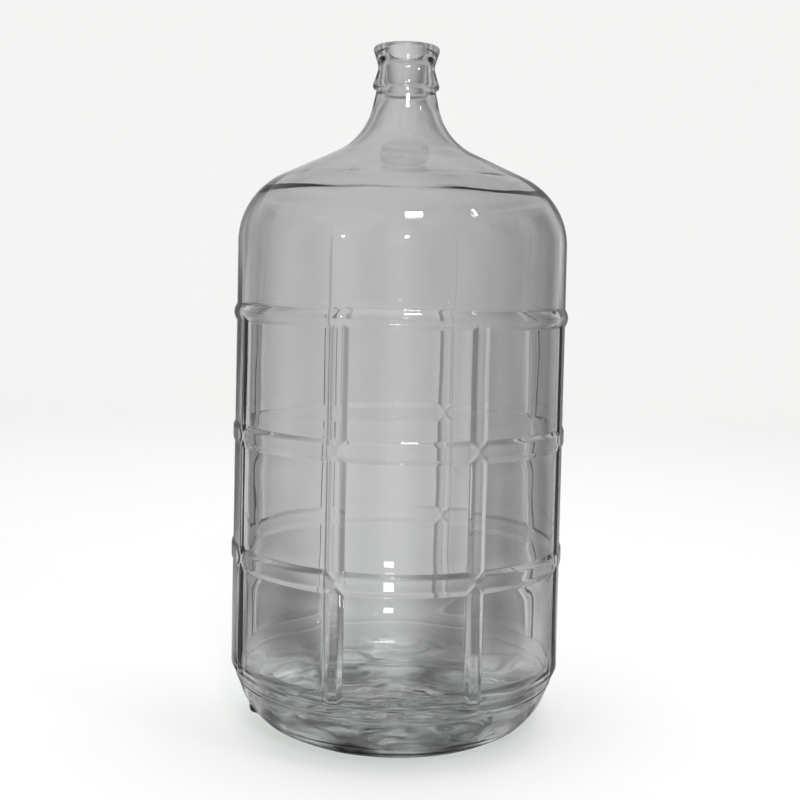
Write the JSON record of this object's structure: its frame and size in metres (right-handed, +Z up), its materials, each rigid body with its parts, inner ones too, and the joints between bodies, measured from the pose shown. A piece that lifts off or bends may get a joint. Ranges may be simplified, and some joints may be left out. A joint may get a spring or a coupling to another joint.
{
  "type": "glass carboy",
  "caption": "Clear glass carboy with a ribbed round barrel, a sloping shoulder and a narrow collared neck, for fermenting and ageing wine, beer, cider or mead.",
  "frame": {"origin": "centre of the ring the vessel stands on, at the height of that ring", "axes": "+Z up along the vessel's axis and out of its mouth; -Y faces the front, which is midway between two upright ribs"},
  "size_m": [0.2584, 0.2584, 0.524],
  "materials": {
    "glass": "clear mould-blown soda-lime glass with a faint grey-green cast, fire-polished and slightly rippled"
  },
  "bodies": {
    "root": {"glass_carboy": "glass"}
  },
  "joints": []
}
